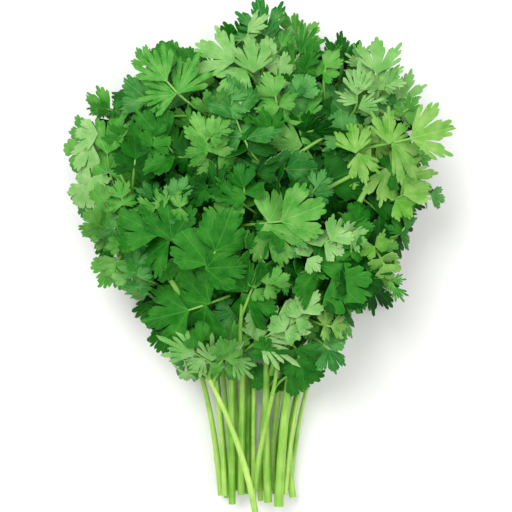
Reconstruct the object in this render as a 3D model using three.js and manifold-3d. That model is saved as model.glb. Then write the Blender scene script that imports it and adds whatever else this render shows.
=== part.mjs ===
// A bunch of fresh coriander, lying on its side: cut stems that fan out into a mound of lobed leaves.
// Millimetres, +Z up. The bunch rests on z = 0 with its cut ends towards -Y and its leaves towards +Y.
import * as THREE from "three";
import { mergeVertices } from "three/addons/utils/BufferGeometryUtils.js";
import Module from "manifold-3d";

const wasm = await Module();
wasm.setup();

// The mound of leaves is kept to an ellipsoid. Its crown is where the topmost leaves lie.
const MOUND_CENTRE = new THREE.Vector3(0, 42, 14);
const MOUND_RADII = new THREE.Vector3(108, 106, 36);
const NECK_HEIGHT = 26; // the lowest that a leaf of the upper list starts, just over the stems
const SIDEWAYS = 0.62; // how far a leaf turns from facing up to facing out of the mound

// Stems and petioles
const STEM_SIDES = 8;
const STEM_STEPS = 7;
const STEM_TAPER = 0.62; // tip diameter over cut-end diameter
const PETIOLE_SIDES = 5;
const PETIOLE_STEPS = 3;
const PETIOLE_RADIUS = 0.9;
const PETIOLE_LENGTH = 0.62; // in lengths of the middle leaflet
const PETIOLE_DROP = 0.22; // how far its foot dips into the mound, in the same lengths
const JOIN = 1.4; // how far the petiole runs into the middle leaflet

// Leaflets
const BLADE_THICKNESS = 0.8;
const BLADE_CENTRE = 0.5; // the middle of the blade, in leaflet lengths from its base
const BLADE_BEND = 0.16; // how far the tip bends down, in leaflet lengths
const BLADE_FOLD = 0.12; // how steeply each half of the blade rises from the midrib
const SIDE_LEAFLET = 0.82; // size of a side leaflet over the middle one
const SIDE_SPREAD = 66; // degrees between the middle leaflet and a side one
const SIDE_BACK = 0.1; // how far behind the middle leaflet's base the side ones join
const SIDE_PITCH = 9; // degrees that the side leaflets rise
const SIDE_ROLL = 16; // degrees that they twist

// A leaflet's outline, as its reach from the base at angles either side of the midrib:
// the tip, its shoulder, the cut beside the middle lobe, the side lobe, and its back corner.
const LOBES = [
  [0, 1.0],
  [14, 0.93],
  [24, 0.66],
  [42, 0.86],
  [78, 0.42],
];

const CLEARANCE = 0.35; // left between neighbours
const SETTLE_STEP = 0.75; // how finely a leaf is raised until it clears those under it
const SETTLE_LIMIT = 90;

const STEM_GREEN = 0x9cc862;
const STEM_ROUGHNESS = 0.45;
const LEAF_GREEN = 0x4d9a3f;
const LEAF_ROUGHNESS = 0.55;

// Stems: diameter at the cut end, then the four points of a cubic curve from cut end to tip.
// The lowest lie on the table; each later group crosses over the ones before it.
const STEMS = [
  [3.6, [-15.5, -130, 1.9], [-19, -95, 2.4], [-21, -45, 8], [-36, 40, 17]],
  [4.0, [-9.6, -126, 2.1], [-11, -90, 2.6], [-11, -45, 8], [-20, 22, 17]],
  [4.2, [-2.8, -128, 2.2], [-3, -90, 2.7], [-2, -45, 8], [2, 50, 17]],
  [3.8, [3.6, -126, 2.0], [5, -90, 2.5], [6, -45, 8], [20, 66, 17]],
  [3.6, [10.4, -128, 1.9], [12, -90, 2.4], [16, -50, 8], [44, -4, 16]],
  [3.4, [-19, -128, 7.2], [-22, -92, 8.4], [-27, -50, 17], [-58, 8, 31]],
  [3.2, [-4.6, -127, 7.2], [-5, -92, 8.2], [-4.4, -50, 16], [4, 66, 28]],
  [3.0, [2.2, -131, 7.0], [1, -92, 8.0], [6, -50, 16], [24, 42, 28]],
  [3.2, [8.4, -125, 7.2], [7.6, -92, 8.2], [13, -50, 16], [32, 10, 28]],
  [3.8, [19.4, -129, 7.4], [13, -92, 7.8], [21, -55, 16], [60, 22, 30]],
  [3.8, [-12.9, -132, 12.4], [-13.4, -90, 13.6], [-13, -45, 24], [-15, 60, 41]],
  [3.7, [-8.1, -127, 12.4], [-8, -90, 13.6], [-7.6, -45, 24], [-2, 74, 41]],
  [4.3, [6.2, -131, 12.6], [4.4, -95, 13.8], [3.6, -50, 24], [11, 32, 40]],
  [5.2, [11.8, -133, 13.0], [13.4, -100, 14.2], [15.6, -55, 24], [36, 56, 42]],
  [2.9, [-0.6, -123, 17.6], [1.4, -96, 19.4], [8.4, -80, 25], [11, -56, 31]],
  [3.5, [-0.6, -135, 22.2], [-5, -110, 24], [-13, -84, 30], [-29, -56, 35]],
];

// Leaves: x and y of the point where the leaflets join, the heading of the middle leaflet in plan
// (degrees, 0 towards +X and 90 towards +Y), its length, and how far the tip rises and the blade rolls
// (degrees). Each list is in the order that the leaves lie on each other.
const LEAVES_ON_TABLE = [
  [-50, 72, 146, 30, -6, 4],
  [-62, 22, 190, 30, -8, -5],
  [-46, -18, 214, 25, -6, 6],
  [52, 76, 44, 30, -7, -4],
  [62, 26, -6, 28, -8, 5],
  [56, -10, -36, 24, -6, -6],
  [2, 96, 92, 28, -5, 3],
];
const LEAVES_ABOVE = [
  [5, 112, 96, 24, 6, 5], // crown, far side
  [21, 103, 60, 18, 4, -6],
  [41, 97, 82, 20, 4, 6],
  [73, 79, 72, 19, 2, -5],
  [-48, 76, 152, 27, 0, 8], // left flank
  [-84, 60, 230, 23, -12, -8],
  [-83, 36, 232, 20, -14, 8],
  [-68, 20, 230, 25, -8, -6],
  [-69, -2, 240, 19, -12, 6],
  [-74, 50, 87, 27, 2, -10],
  [60, 25, -48, 29, -8, 6], // right flank
  [59, 0, -45, 20, -10, -6],
  [70, 42, -22, 26, -4, 5],
  [35, -7, -38, 27, -6, -5],
  [-34, -55, 212, 17, -6, 4], // neck, over the stems
  [20, -61, 52, 18, 2, -6],
  [-5, -45, 275, 16, -8, 5],
  [-26, -5, 250, 23, -6, -6],
  [-16, -49, 80, 18, 4, 6],
  [24, -31, 62, 20, 2, 8],
  [33, 36, 20, 28, 0, -5], // middle
  [4, 40, 75, 29, 3, 6],
  [-32, 24, 130, 28, 2, -5],
  [-46, 8, 155, 28, 0, 6],
  [-43, 56, 125, 27, 4, 6],
  [20, 61, 103, 27, 4, -6],
  [-6, 66, 112, 27, 3, 6],
  [-32, -24, 196, 33, -6, -6], // uppermost
  [-30, -50, 152, 23, -2, 6],
  [7, -41, 38, 25, 3, -6],
  [9, 15, 10, 30, 2, 6],
  [-24, 0, 58, 27, 5, -5],
  [46, 66, 128, 28, 4, 8],
  [-8, 95, 150, 28, 5, 6],
  [-40, 86, 127, 29, 6, -5],
  [61, 92, 98, 23, 5, 4],
  [74, 55, 14, 30, 3, -5],
];

const radians = THREE.MathUtils.degToRad;
const UP = new THREE.Vector3(0, 0, 1);

/** A closed geometry as a manifold-3d solid. */
function solidFrom(geometry) {
  const bare = geometry.clone();
  bare.deleteAttribute("normal");
  bare.deleteAttribute("uv");
  const merged = mergeVertices(bare, 1e-4);
  return new wasm.Manifold(
    new wasm.Mesh({
      numProp: 3,
      vertProperties: new Float32Array(merged.attributes.position.array),
      triVerts: new Uint32Array(merged.index.array),
    }),
  );
}

/** A manifold-3d solid as a three.js geometry. */
function geometryFrom(solid) {
  const mesh = solid.getMesh();
  const positions = new Float32Array(mesh.numVert * 3);
  for (let i = 0; i < mesh.numVert; i += 1) {
    const start = i * mesh.numProp;
    positions.set(mesh.vertProperties.subarray(start, start + 3), i * 3);
  }
  const geometry = new THREE.BufferGeometry();
  geometry.setAttribute("position", new THREE.BufferAttribute(positions, 3));
  geometry.setIndex(new THREE.BufferAttribute(new Uint32Array(mesh.triVerts), 1));
  geometry.computeVertexNormals();
  return geometry;
}

/** Moves every vertex of a geometry to place(x, y, z). */
function reshape(geometry, place) {
  const positions = geometry.getAttribute("position");
  for (let i = 0; i < positions.count; i += 1) {
    const moved = place(positions.getX(i), positions.getY(i), positions.getZ(i));
    positions.setXYZ(i, moved.x, moved.y, moved.z);
  }
  return geometry;
}

/** A tapered round bar bent along a curve, with flat ends square to it. */
function barAlong(curve, footRadius, tipRadius, sides, steps) {
  const bar = new THREE.CylinderGeometry(tipRadius, footRadius, 1, sides, steps);
  return reshape(bar, (x, y, z) => {
    const share = y + 0.5;
    const along = curve.getTangent(share);
    const across = new THREE.Vector3().crossVectors(along, UP).normalize();
    const over = new THREE.Vector3().crossVectors(across, along);
    return curve.getPoint(share).addScaledVector(across, x).addScaledVector(over, z);
  });
}

/** The points of a leaflet's outline, anticlockwise from the tip, for a leaflet of length 1. */
function leafletOutline() {
  const side = LOBES.map(([angle, reach]) => {
    const turn = radians(angle);
    return new THREE.Vector2(reach * Math.cos(turn), reach * Math.sin(turn));
  });
  const otherSide = side.slice(1).reverse();
  const mirrored = otherSide.map((point) => new THREE.Vector2(point.x, -point.y));
  return [...side, new THREE.Vector2(0, 0), ...mirrored];
}

/** Height of the blade's middle surface over its base plane, at a point of a leaflet of this length. */
function bladeHeight(along, across, length) {
  return BLADE_FOLD * Math.abs(across) - (BLADE_BEND * along * along) / length;
}

/** One leaflet as a thin closed plate, base at the origin and tip towards +X, grown by a margin. */
function leafletBlade(length, margin) {
  const outline = leafletOutline();
  const disc = new THREE.CylinderGeometry(1, 1, 1, outline.length, 1);
  const grown = 1 + (2 * margin) / length;
  const half = BLADE_THICKNESS / 2 + margin;
  return reshape(disc, (x, y, z) => {
    const turn = (Math.atan2(x, z) / (2 * Math.PI)) * outline.length;
    const onRim = Math.hypot(x, z) > 0.5;
    const rim = outline[(Math.round(turn) + outline.length) % outline.length];
    const unit = onRim ? rim : new THREE.Vector2(BLADE_CENTRE, 0);
    const along = length * (BLADE_CENTRE + (unit.x - BLADE_CENTRE) * grown);
    const across = length * unit.y * grown;
    const height = bladeHeight(along, across, length) + Math.sign(y) * half;
    return new THREE.Vector3(along, across, height);
  });
}

/** Where a leaflet sits on its leaf: back along the leaf stalk, turned out, raised and twisted. */
function leafletPlace(back, spread, pitch, roll) {
  const turned = new THREE.Matrix4().makeRotationZ(radians(spread));
  turned.multiply(new THREE.Matrix4().makeRotationY(-radians(pitch)));
  turned.multiply(new THREE.Matrix4().makeRotationX(radians(roll)));
  return new THREE.Matrix4().makeTranslation(-back, 0, 0).multiply(turned);
}

/** The three leaflets of a leaf: their lengths and places. */
function leafletsOf(length) {
  const list = [{ length, place: new THREE.Matrix4() }];
  for (const side of [1, -1]) {
    const place = leafletPlace(SIDE_BACK * length, side * SIDE_SPREAD, SIDE_PITCH, side * SIDE_ROLL);
    list.push({ length: SIDE_LEAFLET * length, place });
  }
  return list;
}

/** The stalk of a leaf, from its foot inside the bunch to the base of the middle leaflet. */
function petioleCurve(length) {
  const run = PETIOLE_LENGTH * length;
  const drop = PETIOLE_DROP * length;
  return new THREE.CubicBezierCurve3(
    new THREE.Vector3(-run, 0, -drop),
    new THREE.Vector3(-run * 0.6, 0, -drop * 0.35),
    new THREE.Vector3(-run * 0.25, 0, 0),
    new THREE.Vector3(JOIN, 0, 0),
  );
}

/** One leaf as one solid, its leaflets joined at the origin and its upper side towards +Z. */
function leafSolid(length, margin = 0) {
  const radius = PETIOLE_RADIUS + margin;
  const stalk = barAlong(petioleCurve(length), radius, radius, PETIOLE_SIDES, PETIOLE_STEPS);
  let whole = solidFrom(stalk);
  for (const leaflet of leafletsOf(length)) {
    const blade = leafletBlade(leaflet.length, margin).applyMatrix4(leaflet.place);
    whole = whole.add(solidFrom(blade));
  }
  return whole;
}

/** Height of the mound's upper surface over a point of the table, and the way it faces there. */
function moundAt(x, y) {
  const across = (x - MOUND_CENTRE.x) / MOUND_RADII.x;
  const along = (y - MOUND_CENTRE.y) / MOUND_RADII.y;
  const rise = Math.sqrt(Math.max(0, 1 - across * across - along * along));
  const outward = new THREE.Vector3(
    across / MOUND_RADII.x, along / MOUND_RADII.y, Math.max(rise, 0.05) / MOUND_RADII.z);
  const height = Math.max(NECK_HEIGHT, MOUND_CENTRE.z + rise * MOUND_RADII.z);
  return { height, facing: outward.normalize() };
}

/** The turn of a leaf that heads one way in plan, on a surface that faces another. */
function leafTurn(heading, facing, lean, roll) {
  const ahead = new THREE.Vector3(Math.cos(radians(heading)), Math.sin(radians(heading)), 0);
  ahead.addScaledVector(facing, -ahead.dot(facing)).normalize();
  const leftwards = new THREE.Vector3().crossVectors(facing, ahead);
  const turn = new THREE.Matrix4().makeBasis(ahead, leftwards, facing);
  turn.multiply(new THREE.Matrix4().makeRotationY(-radians(lean)));
  turn.multiply(new THREE.Matrix4().makeRotationX(radians(roll)));
  return turn;
}

/** True if two boxes of manifold-3d share any space. */
function boxesMeet(a, b) {
  return [0, 1, 2].every((k) => a.min[k] <= b.max[k] && b.min[k] <= a.max[k]);
}

const placed = []; // every solid in the bunch so far, in place

/** True if a solid in place shares space with one that is already in the bunch. */
function blocked(solid) {
  const box = solid.boundingBox();
  return placed.some(
    (other) => boxesMeet(box, other.box) && solid.intersect(other.solid).volume() > 1e-6,
  );
}

/** Adds a solid in place to the bunch, as a neighbour for the leaves that follow. */
function keep(solid) {
  placed.push({ solid, box: solid.boundingBox() });
}

const bunch = new THREE.Group();

/** Adds a named mesh with a material of its own, and returns it. */
function addMesh(name, solid, color, roughness) {
  const material = new THREE.MeshStandardMaterial({ color, roughness, metalness: 0 });
  const mesh = new THREE.Mesh(geometryFrom(solid), material);
  mesh.name = name;
  bunch.add(mesh);
  return mesh;
}

/** Adds a stem, which lies where its curve says. */
function addStem(name, [diameter, ...points]) {
  const curve = new THREE.CubicBezierCurve3(...points.map((p) => new THREE.Vector3(...p)));
  const radius = diameter / 2;
  const bar = barAlong(curve, radius, radius * STEM_TAPER, STEM_SIDES, STEM_STEPS);
  const solid = solidFrom(bar);
  if (blocked(solid)) console.warn(name + " crosses another stem");
  keep(solid);
  addMesh(name, solid, STEM_GREEN, STEM_ROUGHNESS);
}

/** Adds a leaf at its place in plan, raised until it clears everything under it. */
function addLeaf(name, [x, y, heading, length, lean, roll], onTable) {
  const mound = moundAt(x, y);
  const facing = UP.clone().lerp(mound.facing, onTable ? 0 : SIDEWAYS).normalize();
  const turn = leafTurn(heading, facing, lean, roll);
  const solid = leafSolid(length).transform(turn.elements);
  const guard = leafSolid(length, CLEARANCE).transform(turn.elements);
  const start = onTable ? -solid.boundingBox().min[2] : mound.height;
  let lift = 0;
  while (blocked(guard.translate([x, y, start + lift])) && lift < SETTLE_LIMIT) lift += SETTLE_STEP;
  keep(solid.translate([x, y, start + lift]));
  const mesh = addMesh(name, leafSolid(length), LEAF_GREEN, LEAF_ROUGHNESS);
  mesh.quaternion.setFromRotationMatrix(turn);
  mesh.position.set(x, y, start + lift);
}

const numbered = (kind, index) => kind + "_" + String(index + 1).padStart(2, "0");
STEMS.forEach((stem, i) => addStem(numbered("stem", i), stem));
LEAVES_ON_TABLE.forEach((leaf, i) => addLeaf(numbered("lower_leaf", i), leaf, true));
LEAVES_ABOVE.forEach((leaf, i) => addLeaf(numbered("leaf", i), leaf, false));

// The origin is the middle of the bunch's footprint, on the table.
const extent = new THREE.Box3().setFromObject(bunch, true);
const middle = extent.getCenter(new THREE.Vector3());
bunch.position.set(-middle.x, -middle.y, -extent.min.z);

export default bunch;
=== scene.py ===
"""A bunch of fresh coriander that lies on a pale table, seen from straight above.

Lengths in the tables below are millimetres. Angles are degrees, and a heading of 0 points to +X and
90 to +Y. The cut stem ends point to -Y and the leaves to +Y.
"""

from __future__ import annotations

import logging
import math
import random
from dataclasses import dataclass
from enum import Enum
from typing import Callable

import bmesh
import bpy
from mathutils import Matrix, Vector

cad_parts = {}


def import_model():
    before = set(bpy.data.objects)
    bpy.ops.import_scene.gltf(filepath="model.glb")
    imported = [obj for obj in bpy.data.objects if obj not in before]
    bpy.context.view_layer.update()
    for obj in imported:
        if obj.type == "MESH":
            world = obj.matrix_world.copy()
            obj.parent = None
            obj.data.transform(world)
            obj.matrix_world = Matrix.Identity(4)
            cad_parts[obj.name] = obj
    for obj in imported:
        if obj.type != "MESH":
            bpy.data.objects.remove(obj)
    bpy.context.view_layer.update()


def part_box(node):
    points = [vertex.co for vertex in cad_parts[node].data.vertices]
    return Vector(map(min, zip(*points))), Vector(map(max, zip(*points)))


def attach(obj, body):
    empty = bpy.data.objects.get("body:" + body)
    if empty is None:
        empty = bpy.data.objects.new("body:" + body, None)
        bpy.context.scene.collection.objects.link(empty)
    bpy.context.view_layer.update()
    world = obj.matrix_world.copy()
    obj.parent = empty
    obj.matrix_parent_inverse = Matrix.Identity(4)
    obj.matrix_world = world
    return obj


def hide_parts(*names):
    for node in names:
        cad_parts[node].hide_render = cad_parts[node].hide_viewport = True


NodeTree = bpy.types.NodeTree
Socket = bpy.types.NodeSocket
Material = bpy.types.Material
Mesh = bmesh.types.BMesh
Vert = bmesh.types.BMVert
Face = bmesh.types.BMFace

LOG = logging.getLogger("coriander")
MM = 0.001
UP = Vector((0.0, 0.0, 1.0))
TABLE_GIVE = 1.4  # leaves and stems lower than this flatten out along the table
SHARP_ANGLE = 62  # an edge that turns more than this is drawn sharp
MERGE = 1e-4  # points closer than this become one


# ---------------------------------------------------------------- small helpers


def linear(code: str) -> tuple[float, float, float, float]:
    """Turn an sRGB hex colour into linear red, green, blue and alpha.

    Args:
        code: Six hex digits, such as "4d9a3f".

    Returns:
        The linear colour with an alpha of 1.
    """
    channels = [int(code[i : i + 2], 16) / 255.0 for i in (0, 2, 4)]
    turned = [c / 12.92 if c <= 0.04045 else ((c + 0.055) / 1.055) ** 2.4 for c in channels]
    return (turned[0], turned[1], turned[2], 1.0)


def add_node(
    tree: NodeTree, kind: str, settings: dict | None = None, links: dict | None = None) -> bpy.types.Node:
    """Add a node with its settings, its values and its links.

    Args:
        tree: The node tree to add to.
        kind: The node's type name.
        settings: Property names and values of the node.
        links: Input names or numbers, each with a socket to link or a value to set.

    Returns:
        The new node.
    """
    node = tree.nodes.new(kind)
    for name, value in (settings or {}).items():
        setattr(node, name, value)
    for name, value in (links or {}).items():
        if isinstance(value, Socket):
            tree.links.new(value, node.inputs[name])
        else:
            node.inputs[name].default_value = value
    return node


def new_material(name: str) -> tuple[Material, NodeTree]:
    """Make an empty node material.

    Args:
        name: The material's name.

    Returns:
        The material and its node tree.
    """
    material = bpy.data.materials.new(name)
    material.use_nodes = True
    material.node_tree.nodes.clear()
    return material, material.node_tree


def mix_value(a: float, b: float, share: float) -> float:
    """Return the value that lies a share of the way from a to b."""
    return a + (b - a) * share


def cubic(points: list[Vector], share: float) -> Vector:
    """Find a point of a cubic curve.

    Args:
        points: The curve's four points.
        share: The share of its way.

    Returns:
        The point there.
    """
    a, b, c, d = points
    rest = 1.0 - share
    return a * rest**3 + b * (3 * rest**2 * share) + c * (3 * rest * share**2) + d * share**3


def cubic_direction(points: list[Vector], share: float) -> Vector:
    """Find which way a cubic curve runs.

    Args:
        points: The curve's four points.
        share: The share of its way.

    Returns:
        The unit direction there.
    """
    a, b, c, d = points
    rest = 1.0 - share
    slope = (b - a) * (3 * rest**2) + (c - b) * (6 * rest * share) + (d - c) * (3 * share**2)
    return slope.normalized()


def middle_of(points: list[Vector]) -> Vector:
    """Find the middle of the box around some points.

    Args:
        points: The points.

    Returns:
        The middle of their box.
    """
    low = Vector([min(p[k] for p in points) for k in range(3)])
    high = Vector([max(p[k] for p in points) for k in range(3)])
    return (low + high) / 2


# ---------------------------------------------------------------- finishes


class Tone(Enum):
    """The colours of the leaves of one bunch; deep holds some painted half shade and shaded is painted shade.
    """

    DEEP = "deep"
    GREEN = "green"
    BLUISH = "bluish"
    LIGHT = "light"
    YELLOW = "yellow"
    PALE = "pale"
    SHADED = "shaded"


@dataclass(frozen=True)
class LeafFinish:
    """A fresh coriander leaf: a thin soft blade with a faint wax bloom, so its gloss is broad and weak.

    The blade is darkest between its veins, and paler along them and underneath. Its veins are drawn a
    little wider than real ones, which are too fine to show.
    """

    name: str
    dark: str
    bright: str
    vein: str
    under: str
    roughness: float = 0.5
    patch_mm: float = 7.0
    grain_mm: float = 0.7
    vein_mm: float = 0.34
    tooth_mm: float = 4.2
    vein_strength: float = 0.24
    patch_gain: float = 1.7
    dark_end: float = 0.56
    bright_end: float = 1.72
    under_share: float = 0.7
    vein_sink: float = -0.7
    relief: float = 0.6
    relief_mm: float = 0.25

    def material(self) -> Material:
        """Build the blade material, with veins that fan out from the leaflet's base.

        Returns:
            The finished material.
        """
        material, tree = new_material("leaf_" + self.name)
        place = add_node(tree, "ShaderNodeTexCoord")
        blade = add_node(tree, "ShaderNodeUVMap", {"uv_map": "blade"})
        parts = add_node(tree, "ShaderNodeSeparateXYZ", None, {0: blade.outputs[0]})
        across, along = parts.outputs[0], parts.outputs[1]
        vein = self._veins(tree, across, along)
        patches = add_node(
            tree, "ShaderNodeTexNoise", {"noise_dimensions": "3D"},
            {
                "Vector": place.outputs["Object"],
                "Scale": 1.0 / (self.patch_mm * MM),
                "Detail": 3.0,
                "Roughness": 0.55,
            },
        )
        shade = add_node(tree, "ShaderNodeAttribute", {"attribute_name": "shade"})
        under = add_node(tree, "ShaderNodeAttribute", {"attribute_name": "under"})
        blend = add_node(
            tree, "ShaderNodeMath", {"operation": "MULTIPLY_ADD"},
            {0: patches.outputs[0], 1: self.patch_gain, 2: shade.outputs["Fac"]},
        )
        share = add_node(
            tree, "ShaderNodeMapRange", {"clamp": True},
            {0: blend.outputs[0], 1: self.dark_end, 2: self.bright_end})
        body = self._mix(tree, share.outputs[0], linear(self.dark), linear(self.bright))
        faint = add_node(
            tree, "ShaderNodeMath", {"operation": "MULTIPLY"}, {0: vein, 1: self.vein_strength})
        lined = self._mix(tree, faint.outputs[0], body, linear(self.vein))
        faded = add_node(
            tree, "ShaderNodeMath", {"operation": "MULTIPLY"}, {0: under.outputs["Fac"], 1: self.under_share})
        sided = self._mix(tree, faded.outputs[0], lined, linear(self.under))
        grain = add_node(
            tree, "ShaderNodeTexNoise", None,
            {"Vector": place.outputs["Object"], "Scale": 1.0 / (self.grain_mm * MM), "Detail": 2.0},
        )
        relief = add_node(
            tree, "ShaderNodeMath", {"operation": "MULTIPLY_ADD"},
            {0: vein, 1: self.vein_sink, 2: grain.outputs[0]})
        bump = add_node(
            tree, "ShaderNodeBump", None,
            {"Strength": self.relief, "Distance": self.relief_mm * MM, "Height": relief.outputs[0]})
        gloss = add_node(
            tree, "ShaderNodeMapRange", None,
            {0: patches.outputs[0], 3: self.roughness - 0.07, 4: self.roughness + 0.09})
        shader = add_node(
            tree, "ShaderNodeBsdfPrincipled", {"subsurface_method": "BURLEY"},
            {
                "Base Color": sided,
                "Roughness": gloss.outputs[0],
                "Normal": bump.outputs[0],
                "IOR": 1.42,
                "Specular IOR Level": 0.15,
                "Subsurface Weight": 0.12,
                "Subsurface Radius": (0.25, 1.0, 0.1),
                "Subsurface Scale": 1.2 * MM,
            },
        )
        add_node(tree, "ShaderNodeOutputMaterial", None, {"Surface": shader.outputs[0]})
        return material

    def _veins(self, tree: NodeTree, across: Socket, along: Socket) -> Socket:
        """Draw a vein up the middle of each lobe, with branches that leave it for the teeth.

        Args:
            tree: The material's tree.
            across: The share of the way round the rim.
            along: The share of the way from base to rim.

        Returns:
            A value that is 1 on a vein and 0 between veins.
        """
        centred = add_node(tree, "ShaderNodeMath", {"operation": "SUBTRACT"}, {0: across, 1: 0.5})
        teeth = add_node(
            tree, "ShaderNodeMath", {"operation": "MULTIPLY"},
            {0: centred.outputs[0], 1: float(BROAD.teeth)})
        lobe = add_node(tree, "ShaderNodeMath", {"operation": "PINGPONG"}, {0: teeth.outputs[0], 1: 2.2})
        lines = [self._vein(tree, lobe.outputs[0], along, 0.0, 0.0, 1.5)]
        for reach, start in ((1.0, 0.3), (1.0, 0.5), (2.0, 0.2), (2.0, 0.45)):
            lines.append(self._vein(tree, lobe.outputs[0], along, reach, start, 0.8))
        joined = lines[0]
        for line in lines[1:]:
            both = add_node(tree, "ShaderNodeMath", {"operation": "MAXIMUM"}, {0: joined, 1: line})
            joined = both.outputs[0]
        return joined

    def _vein(
        self, tree: NodeTree, lobe: Socket, along: Socket, reach: float, start: float,
        width: float) -> Socket:
        """Draw one vein of a lobe.

        Args:
            tree: The material's tree.
            lobe: The distance from the lobe's middle, in teeth.
            along: The share of the way from base to rim.
            reach: How many teeth from the middle the vein ends.
            start: Where on the way to the rim the vein leaves the middle.
            width: The vein's width, in widths of a fine vein.

        Returns:
            A value that is 1 on the vein.
        """
        bend = add_node(
            tree, "ShaderNodeMapRange", {"clamp": True}, {0: along, 1: start, 2: 1.0, 3: 0.0, 4: reach})
        off = add_node(tree, "ShaderNodeMath", {"operation": "SUBTRACT"}, {0: lobe, 1: bend.outputs[0]})
        size = add_node(tree, "ShaderNodeMath", {"operation": "ABSOLUTE"}, {0: off.outputs[0]})
        span = add_node(
            tree, "ShaderNodeMath", {"operation": "MULTIPLY"}, {0: size.outputs[0], 1: along})
        real = add_node(
            tree, "ShaderNodeMath", {"operation": "MULTIPLY"}, {0: span.outputs[0], 1: self.tooth_mm})
        wide = self.vein_mm * width
        line = add_node(
            tree, "ShaderNodeMapRange", {"interpolation_type": "SMOOTHSTEP"},
            {0: real.outputs[0], 1: wide * 0.2, 2: wide, 3: min(1.0, width * 0.7), 4: 0.0})
        return line.outputs[0]

    @staticmethod
    def _mix(tree: NodeTree, share: object, a: object, b: object) -> Socket:
        """Mix two colours by a share, and return the mixed colour's socket."""
        node = add_node(tree, "ShaderNodeMix", {"data_type": "RGBA"}, {0: share, 6: a, 7: b})
        return node.outputs[2]


@dataclass(frozen=True)
class StemFinish:
    """A fresh green stem: smooth watery skin over fine ribs, with long streaks and a soft sheen."""

    name: str
    dark: str
    bright: str
    roughness: float = 0.36
    streak_mm: float = 1.1
    patch_mm: float = 16.0
    streak_gain: float = 0.55
    dark_end: float = 0.45
    bright_end: float = 1.35
    relief: float = 0.45
    relief_mm: float = 0.2

    def material(self) -> Material:
        """Build the stem material, with streaks that run along the stem.

        Returns:
            The finished material.
        """
        material, tree = new_material("stem_" + self.name)
        place = add_node(tree, "ShaderNodeTexCoord")
        drawn = add_node(
            tree, "ShaderNodeMapping", None,
            {"Vector": place.outputs["Object"], "Scale": (1.0, 0.06, 1.0)})
        streaks = add_node(
            tree, "ShaderNodeTexNoise", None,
            {"Vector": drawn.outputs[0], "Scale": 1.0 / (self.streak_mm * MM), "Detail": 2.0})
        patches = add_node(
            tree, "ShaderNodeTexNoise", None,
            {"Vector": place.outputs["Object"], "Scale": 1.0 / (self.patch_mm * MM), "Detail": 3.0})
        shade = add_node(tree, "ShaderNodeAttribute", {"attribute_name": "shade"})
        summed = add_node(
            tree, "ShaderNodeMath", {"operation": "MULTIPLY_ADD"},
            {0: streaks.outputs[0], 1: self.streak_gain, 2: patches.outputs[0]})
        toned = add_node(
            tree, "ShaderNodeMath", {"operation": "ADD"}, {0: summed.outputs[0], 1: shade.outputs["Fac"]})
        share = add_node(
            tree, "ShaderNodeMapRange", {"clamp": True},
            {0: toned.outputs[0], 1: self.dark_end, 2: self.bright_end})
        mixed = add_node(
            tree, "ShaderNodeMix", {"data_type": "RGBA"},
            {0: share.outputs[0], 6: linear(self.dark), 7: linear(self.bright)})
        bump = add_node(
            tree, "ShaderNodeBump", None,
            {"Strength": self.relief, "Distance": self.relief_mm * MM, "Height": streaks.outputs[0]})
        shader = add_node(
            tree, "ShaderNodeBsdfPrincipled", {"subsurface_method": "BURLEY"},
            {
                "Base Color": mixed.outputs[2],
                "Roughness": self.roughness,
                "Normal": bump.outputs[0],
                "IOR": 1.4,
                "Subsurface Weight": 0.2,
                "Subsurface Radius": (0.5, 1.0, 0.2),
                "Subsurface Scale": 1.5 * MM,
            },
        )
        add_node(tree, "ShaderNodeOutputMaterial", None, {"Surface": shader.outputs[0]})
        return material


# Fresh leaves. Deep and green are full-grown blades, and the deep colour also holds painted half shade.
# Bluish ones keep their wax bloom, light and yellow ones are young and let light through, pale ones
# show their matt underside, and shaded ones lie far inside with a near-black colour of painted shade,
# which reads as the dark gaps between the others.
LEAF_FINISHES = {
    # deep: full-grown blades whose dark colour is partly painted half shade
    Tone.DEEP: LeafFinish("deep", "023c02", "1b780f", "48953a", "4f9142"),
    Tone.GREEN: LeafFinish("green", "0c5e08", "3f9229", "66ac4c", "68a052"),
    Tone.BLUISH: LeafFinish("bluish", "1c6c20", "68ac58", "92c280", "88b878"),
    Tone.LIGHT: LeafFinish("light", "358820", "80b65c", "a0c884", "94be7c"),
    Tone.YELLOW: LeafFinish("yellow", "529626", "a2ca70", "b6d88c", "a6c884"),
    Tone.PALE: LeafFinish("pale", "62a04a", "a8ce88", "7aac60", "aacc8c", vein_strength=0.3),
    # shaded: painted shade, near black, for the leaves deep inside the mound
    Tone.SHADED: LeafFinish("shaded", "001801", "053a03", "1a5a14", "184c12"),
}
# Stem skin is watery and shines along its ribs, petioles are thinner and duller, and pith is the pale
# matt inside that a cut end shows.
STEM_FINISH = StemFinish("skin", "62a824", "c6e878")
PETIOLE_FINISH = StemFinish("petiole", "4f9826", "98cc60", roughness=0.42)
PITH_FINISH = StemFinish("pith", "a8c47a", "dcebb4", roughness=0.6)


# ---------------------------------------------------------------- blades


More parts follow.
